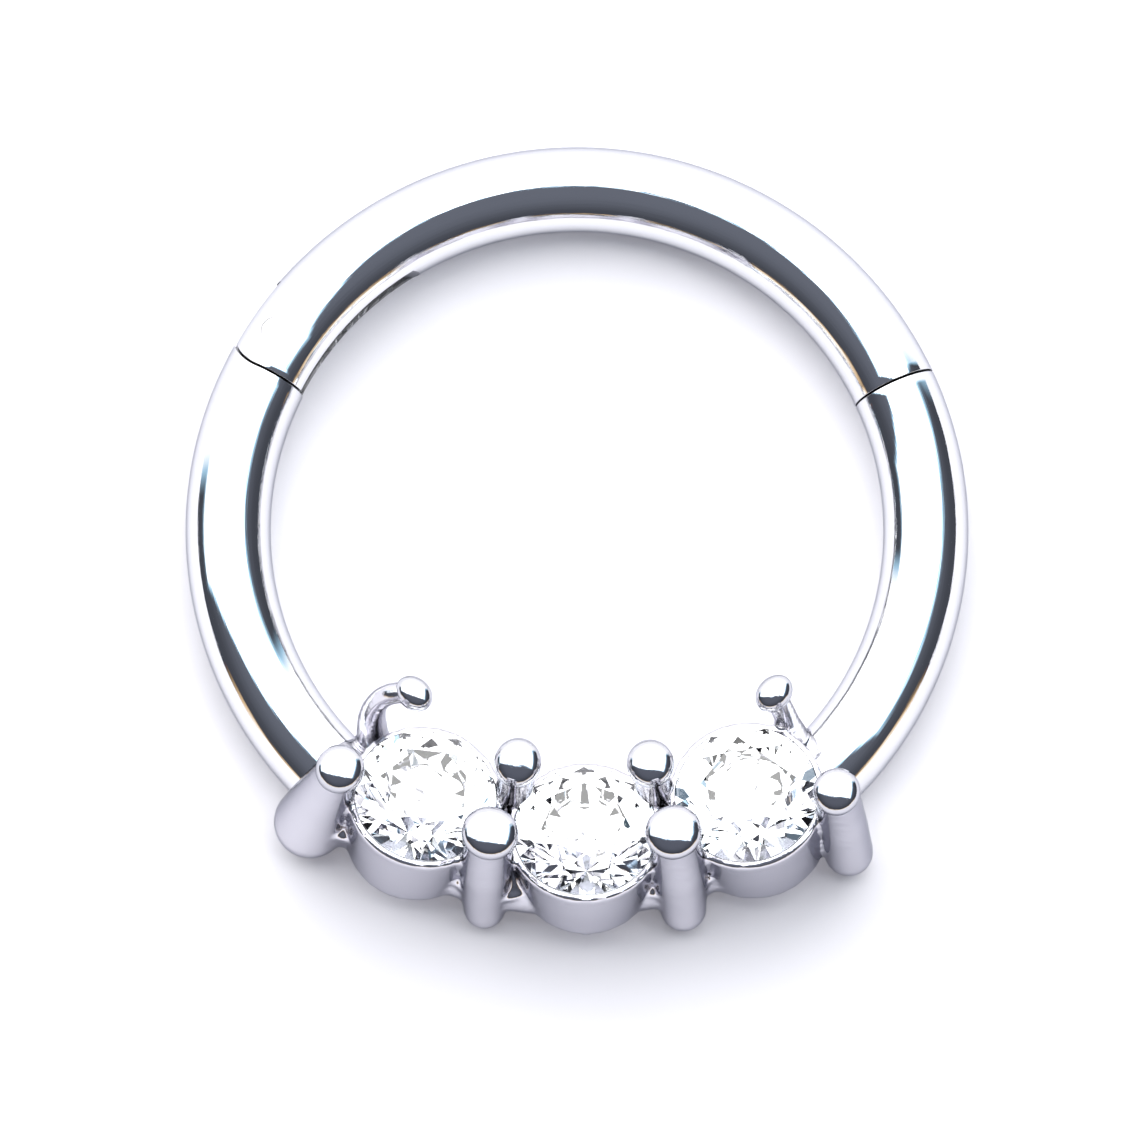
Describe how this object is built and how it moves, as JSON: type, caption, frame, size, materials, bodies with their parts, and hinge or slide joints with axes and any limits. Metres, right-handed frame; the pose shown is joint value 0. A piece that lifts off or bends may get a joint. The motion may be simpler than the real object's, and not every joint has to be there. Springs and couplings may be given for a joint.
{
  "type": "hinged septum ring",
  "caption": "Round-wire hinged ring that opens on a pin at one side and clicks shut at the other, with a curved row of prong-set clear round stones facing forwards.",
  "frame": {"origin": "on the surface that the ring lies on, under the middle of its outline", "axes": "+Z is the ring's own axis, up from the surface; -Y is towards the stones and +Y towards the hinged segment; the hinge is at -X and the clasp at +X"},
  "size_m": [0.011, 0.0114, 0.0031],
  "materials": {
    "polished_metal": "mirror polished, silver-coloured",
    "clear_stone": "faceted and polished, clear"
  },
  "bodies": {
    "ring": {"ring_body": "polished_metal", "stone_left": "clear_stone", "stone_centre": "clear_stone", "stone_right": "clear_stone"},
    "segment": {"hinged_segment": "polished_metal", "hinge_pin": "polished_metal"}
  },
  "joints": [
    {"name": "segment_hinge", "type": "hinge", "parent": "ring", "child": "segment", "pos_m": [-0.00425, 0.00293, 0.0006], "axis": [0, 0, 1], "range_deg": [0, 90]}
  ]
}
